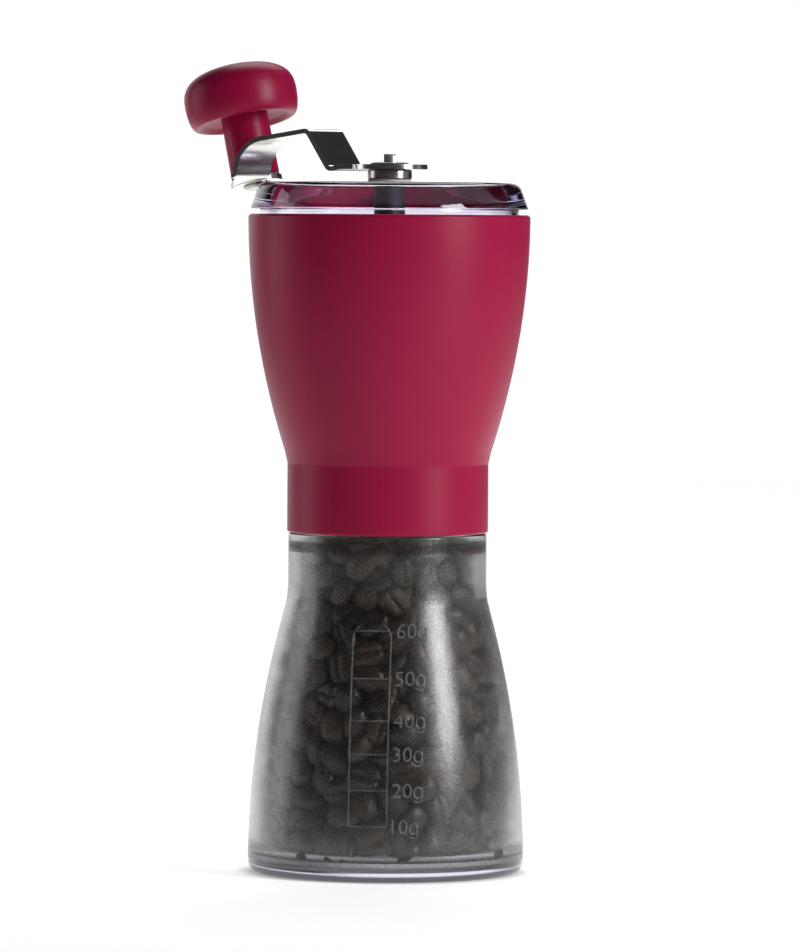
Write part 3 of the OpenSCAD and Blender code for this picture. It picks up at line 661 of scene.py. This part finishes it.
def settledBeans():
    rng = np.random.default_rng(beanFill["seed"])
    floor, heights, radii = jarInside()
    count = beanFill["count"]
    variation = beanFill["spread"] * rng.normal(size=(count, 1)).clip(-1.6, 1.6)
    half = np.array(beanFill["half"]) * (1 + variation)
    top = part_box("inner_burr")[0].z - beanFill["topClear"]
    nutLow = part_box("drive_shaft")[0].z - beanFill["topClear"]
    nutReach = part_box("adjusting_nut")[1].x + beanFill["topClear"]
    tallest = radii.max()
    places = []
    while len(places) < count:
        p = rng.uniform((-tallest, -tallest, floor), (tallest, tallest, top))
        if math.hypot(p[0], p[1]) < np.interp(p[2], heights, radii) - beanFill["startClear"]:
            places.append(p)
    places = np.array(places)
    turns = randomTurns(rng, count)
    reach = beanFill["pairReach"] * half.max()
    upward = np.tile([0, 0, 1.0], (count, 1))
    for step in range(beanFill["settleSteps"]):
        if step % beanFill["pairSteps"] == 0:
            gaps = np.linalg.norm(places[:, None] - places[None], axis=2)
            first, second = np.nonzero(np.triu(gaps < reach, 1))
        if step == beanFill["settleSteps"] // beanFill["layShare"]:
            away, outward, wall, normal = wallBeside(places, heights, radii)
            beside = wall - away < beanFill["wallReach"]
            turns[beside] = laidOn(normal[beside], rng)
            below = (places[:, 2] - floor < beanFill["floorReach"]) & ~beside
            turns[below] = laidOn(upward[below], rng)
        between = places[second] - places[first]
        span = np.maximum(np.linalg.norm(between, axis=1), 1e-6)
        between /= span[:, None]
        extent = sum(1 / np.sqrt((np.einsum("nij,ni->nj", turns[k], between) ** 2 / half[k] ** 2).sum(1))
                     for k in (first, second))
        push = (np.maximum(extent - span, 0) * beanFill["pushShare"])[:, None] * between
        np.add.at(places, second, push)
        np.subtract.at(places, first, push)
        places[:, 2] -= beanFill["sink"]
        upright = halfDepth(turns, half, upward)
        away, outward, wall, normal = wallBeside(places, heights, radii)
        flat = halfDepth(turns, half, outward)
        under = (places[:, 2] + upright > nutLow) & (away < nutReach + flat)
        aside = under & (away > nutReach * beanFill["asideFrom"])
        places[aside] += outward[aside] * (nutReach + flat - away)[aside][:, None] * beanFill["asideShare"]
        down = under & ~aside
        places[down, 2] = np.minimum(places[down, 2], nutLow - upright[down])
        places[:, 2] = np.clip(places[:, 2], floor + upright + beanFill["wallClear"], top - upright)
        away, outward, wall, normal = wallBeside(places, heights, radii)
        room = halfDepth(turns, half, normal) + beanFill["wallClear"]
        room /= np.hypot(normal[:, 0], normal[:, 1])
        places -= outward * np.maximum(away - wall + room, 0)[:, None]
    return places, turns, half, rng


def beanShape():
    # one bean of half sizes 1, 1, 1: domed back, flat face with a crease along it
    rings, dome = beanFill["rings"], beanFill["domePoints"]
    face = [(-0.97, -0.22), (-0.6, -0.6), (-0.2, -0.68), (-0.06, -0.5), (0.0, -0.2)]
    face += [(-y, z) for y, z in face[-2::-1]]
    points, crease = [], []
    for i in range(1, rings):
        u = -math.cos(math.pi * i / rings)
        wide = (1 - abs(u) ** 2.4) ** (1 / 2.2)
        bow = 0.1 * math.sin(2.4 * u)                   # the crease is a slight S
        for k in range(dome + 1):
            a = math.pi * k / dome
            points.append((u, wide * math.cos(a), wide * math.sin(a)))
            crease.append(0.0)
        for y, z in face:
            inCrease = max(0.0, 1 - abs(y) / 0.2)
            points.append((u, wide * (y + bow * inCrease), wide * z))
            crease.append(1.0 if abs(y) < 0.05 else 0.0)
    across = dome + 1 + len(face)
    ends = [len(points), len(points) + 1]
    points += [(-1.0, 0, 0), (1.0, 0, 0)]
    crease += [0.0, 0.0]
    faces = []
    for i in range(rings - 2):
        for k in range(across):
            n = (k + 1) % across
            faces.append((i * across + k, i * across + n, (i + 1) * across + n, (i + 1) * across + k))
    for k in range(across):
        n = (k + 1) % across
        faces.append((ends[0], n, k))
        faces.append((ends[1], (rings - 2) * across + k, (rings - 2) * across + n))
    return np.array(points), np.array(crease), faces


def roastedBeans():
    finish = Finish("roastedBean")
    marks = finish.add("ShaderNodeAttribute", {"attribute_name": "beanMarks"})
    split = {0: marks}
    tone = finish.add("ShaderNodeSeparateColor", None, split, 0)
    crease = finish.add("ShaderNodeSeparateColor", None, split, 1)
    skin = finish.noise(900.0, 4.0, 0.6)
    roast = finish.blend(tone * 0.7 + skin * 0.3, rgb(0.013, 0.006, 0.0045), rgb(0.060, 0.027, 0.015))
    colour = finish.blend(crease * (0.35 + 0.5 * skin), roast, rgb(0.24, 0.14, 0.08))
    rough = 0.3 + 0.22 * skin + 0.2 * crease
    wrinkle = finish.bump(finish.noise(1500.0, 3.0, 0.65), 0.35, 0.0002)
    return finish.close(finish.surface(Base_Color=colour, Roughness=rough, Normal=wrinkle,
                                       Specular_IOR_Level=0.5))


def makeBeans():
    places, turns, half, rng = settledBeans()
    shape, crease, faces = beanShape()
    size = len(shape)
    count = len(places)
    lumps = 1 + 0.05 * rng.normal(size=(count, size, 1)).clip(-1, 1) * (1 - crease)[None, :, None] * 0.5
    local = shape[None] * half[:, None, :] * lumps
    world = np.einsum("nij,nvj->nvi", turns, local) + places[:, None]
    mesh = bpy.data.meshes.new("coffeeBeans")
    allFaces = [tuple(index + n * size for index in face) for n in range(count) for face in faces]
    mesh.from_pydata(world.reshape(-1, 3).tolist(), [], allFaces)
    marks = mesh.color_attributes.new("beanMarks", "FLOAT_COLOR", "POINT")
    values = np.ones((count, size, 4))
    values[:, :, 0] = rng.random((count, 1))
    values[:, :, 1] = crease
    marks.data.foreach_set("color", values.ravel())
    mesh.shade_smooth()
    mesh.update()
    piece = bpy.data.objects.new("coffeeBeans", mesh)
    bpy.context.scene.collection.objects.link(piece)
    mesh.materials.append(roastedBeans())
    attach(piece, "jar")
    print("beans settled:", count)


makeBeans()


# raised scale on the jar's front, drawn flat and laid on the wall
gramScale = {
    "turn": -7.6,                   # degrees from the front
    "halfWidth": 5.15 * mm,
    "marks": {"60g": 67.1 * mm, "50g": 54.5 * mm, "40g": 43.3 * mm, "30g": 34.4 * mm, "20g": 24.8 * mm,
              "10g": 15.2 * mm},    # heights of the lines
    "shoulder": 4.4 * mm,           # rounds at the upper ends of the side lines
    "shoulderTurn": 52,             # degrees
    "overrun": 2.2 * mm,            # side lines past the last mark
    "lineWidth": 0.34 * mm,
    "lineRise": 0.16 * mm,
    "tickRise": 0.1 * mm,
    "sunk": 0.05 * mm,              # foot of a raised line inside the wall
    "labelGap": 1.3 * mm,
    "digitHeight": 3.9 * mm,
    "strokeWidth": 0.42 * mm,       # of the g, whose sizes are shares of a digit's height
    "gGap": 0.14,
    "gWide": 0.26,
    "gHigh": 0.37,
    "gDrop": 0.27,
    "letterRise": 0.2 * mm,
    "letterThin": 0.012,            # share of the type size taken off the strokes
}


def jarOutside():
    points = ringProfile("jar", Matrix())[0]
    heights = np.linspace(2 * mm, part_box("hopper_body")[0].z - 0.5 * mm, 200)
    pairs = list(zip(points, points[1:] + points[:1]))
    radii = [max(a.x + (b.x - a.x) * (z - a.y) / (b.y - a.y) for a, b in pairs if (a.y - z) * (b.y - z) < 0)
             for z in heights]
    return heights, radii


def onJar(outside, x, z, rise):
    radius = float(np.interp(z, *outside))
    angle = math.asin(x / radius) + math.radians(gramScale["turn"])
    return Vector(((radius + rise) * math.sin(angle), -(radius + rise) * math.cos(angle), z))


def raisedLine(work, outside, path, rise, width=gramScale["lineWidth"], profile=7):
    half = width / 2
    rings = []
    for i, point in enumerate(path):
        along = (path[min(i + 1, len(path) - 1)] - path[max(i - 1, 0)]).normalized()
        side = Vector((along.y, -along.x))
        ring = []
        for k in range(profile):
            a = math.pi * k / (profile - 1)
            spot = point + side * half * math.cos(a)
            height = (rise + gramScale["sunk"]) * math.sin(a) ** 0.7 - gramScale["sunk"]
            ring.append(work.verts.new(onJar(outside, spot.x, spot.y, height)))
        rings.append(ring)
    for low, high in zip(rings, rings[1:]):
        for k in range(profile):
            n = (k + 1) % profile
            work.faces.new((low[k], low[n], high[n], high[k]))
    work.faces.new(rings[0])
    work.faces.new(rings[-1][::-1])


def sideLine(side):
    half, bend = gramScale["halfWidth"], gramScale["shoulder"]
    bottom = min(gramScale["marks"].values())
    shoulder = max(gramScale["marks"].values()) + gramScale["overrun"] - bend
    path = [Vector((side * half, bottom + (shoulder - bottom) * k / 60)) for k in range(60)]
    for k in range(13):
        a = math.radians(gramScale["shoulderTurn"]) * k / 12
        path.append(Vector((side * (half - bend * (1 - math.cos(a))), shoulder + bend * math.sin(a))))
    return path


def makeScale(lineFinish, letterFinish):
    outside = jarOutside()
    work = bmesh.new()
    for side in (-1, 1):
        raisedLine(work, outside, sideLine(side), gramScale["lineRise"])
    half = gramScale["halfWidth"] - gramScale["lineWidth"] / 2
    top = max(gramScale["marks"].values())
    for height in gramScale["marks"].values():
        reach = half - 0.6 * mm * (height == top)
        path = [Vector((reach * (k / 10 - 1), height)) for k in range(21)]
        raisedLine(work, outside, path, gramScale["tickRise"])
    bmesh.ops.recalc_face_normals(work, faces=work.faces)
    mesh = bpy.data.meshes.new("gramScale")
    work.to_mesh(mesh)
    work.free()
    mesh.shade_smooth()
    lines = bpy.data.objects.new("gramScale", mesh)
    bpy.context.scene.collection.objects.link(lines)
    pieces = [lines] + [makeLabel(outside, text, height) for text, height in gramScale["marks"].items()]
    for piece in pieces:
        dressed(piece, lineFinish if piece == lines else letterFinish)
        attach(piece, "jar")
    print("scale on the jar:", len(pieces) - 1, "labels")


def gStrokes(left, base, tall):
    # a plain g: round bowl, then stem and hook in one line
    wide, high, drop = (gramScale[key] * tall for key in ("gWide", "gHigh", "gDrop"))
    turns = [2 * math.pi * k / 32 for k in range(33)]
    bowl = [Vector((left + wide * (1 + math.cos(a)), base + high * (1 + math.sin(a)))) for a in turns]
    foot, top = base - drop / 3, base + 2 * high
    stem = [Vector((left + 2 * wide, top + (foot - top) * k / 12)) for k in range(12)]
    bends = [math.radians(150) * k / 16 for k in range(17)]
    hook = [Vector((left + wide * (1 + math.cos(a)), foot - drop * 2 / 3 * math.sin(a))) for a in bends]
    return [bowl, stem + hook]


def makeLabel(outside, text, height):
    data = bpy.data.curves.new("label", "FONT")
    data.body = text.rstrip("g")
    data.size = 1.0
    data.offset = -gramScale["letterThin"]
    data.resolution_u = 3
    data.extrude = 0.02
    data.bevel_depth = 0.01
    data.bevel_resolution = 1
    holder = bpy.data.objects.new("label", data)
    bpy.context.scene.collection.objects.link(holder)
    bpy.context.view_layer.update()
    mesh = bpy.data.meshes.new_from_object(holder.evaluated_get(bpy.context.evaluated_depsgraph_get()))
    bpy.data.objects.remove(holder)
    spots = np.array([vertex.co[:] for vertex in mesh.vertices])
    base, tall = spots[:, 1].min(), np.ptp(spots[:, 1])
    size = gramScale["digitHeight"] / tall
    left = gramScale["halfWidth"] + gramScale["labelGap"]
    deep = np.ptp(spots[:, 2])
    through = gramScale["letterRise"] + gramScale["sunk"]
    for vertex, (u, v, w) in zip(mesh.vertices, spots):
        rise = (w - spots[:, 2].min()) / deep * through - gramScale["sunk"]
        z = height + (v - base - tall / 2) * size
        vertex.co = onJar(outside, left + (u - spots[:, 0].min()) * size, z, rise)
    work = bmesh.new()
    work.from_mesh(mesh)
    digits = set(work.faces)
    right = left + np.ptp(spots[:, 0]) * size + gramScale["gGap"] * gramScale["digitHeight"]
    for path in gStrokes(right, height - gramScale["digitHeight"] / 2, gramScale["digitHeight"]):
        raisedLine(work, outside, path, gramScale["letterRise"], gramScale["strokeWidth"])
    letter = [face for face in work.faces if face not in digits]
    bmesh.ops.recalc_face_normals(work, faces=letter)
    for face in letter:
        face.smooth = True
    work.to_mesh(mesh)
    work.free()
    mesh.name = "label_" + text
    piece = bpy.data.objects.new("label_" + text, mesh)
    bpy.context.scene.collection.objects.link(piece)
    return piece


# painted shade: grey, part see-through tones for the clear raised lines and labels
makeScale(raisedClear("raisedLine", 0.19, 0.3), raisedClear("raisedLetter", 0.13, 0.6))


# burr spring: round wire on the CAD spring's helix
springWire = {
    "wire": 1.0 * mm,
    "turns": 3.5,
    "rings": 64,        # along one turn
    "sides": 18,
    "endTaper": 6,      # rings that round off each cut end
}


def makeSpring():
    low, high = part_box("burr_spring")
    half = springWire["wire"] / 2
    radius = high.x - half
    count = int(springWire["turns"] * springWire["rings"])
    climb = high.z - low.z - springWire["wire"]
    work = bmesh.new()
    rings = []
    for i in range(count + 1):
        a = 2 * math.pi * i / springWire["rings"]
        fromEnd = min(i, count - i, springWire["endTaper"]) / springWire["endTaper"]
        thick = half * (0.7 + 0.3 * math.sin(fromEnd * math.pi / 2))
        centre = Vector((radius * math.cos(a), radius * math.sin(a), low.z + half + climb * i / count))
        outward = Vector((math.cos(a), math.sin(a), 0))
        ring = []
        for k in range(springWire["sides"]):
            b = 2 * math.pi * k / springWire["sides"]
            aside = outward * math.cos(b) + Vector((0, 0, math.sin(b)))
            ring.append(work.verts.new(centre + thick * aside))
        rings.append(ring)
    for first, second in zip(rings, rings[1:]):
        for k in range(springWire["sides"]):
            n = (k + 1) % springWire["sides"]
            work.faces.new((first[k], first[n], second[n], second[k]))
    work.faces.new(rings[0])
    work.faces.new(rings[-1][::-1])
    bmesh.ops.recalc_face_normals(work, faces=work.faces)
    for face in work.faces:
        face.smooth = len(face.verts) == 4
    mesh = bpy.data.meshes.new("burrSpring")
    work.to_mesh(mesh)
    work.free()
    spring = bpy.data.objects.new("burrSpring", mesh)
    bpy.context.scene.collection.objects.link(spring)
    dressed(standIn(spring, "burr_spring"), wire)
    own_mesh(spring)
    print("spring wound:", springWire["turns"], "turns")


makeSpring()
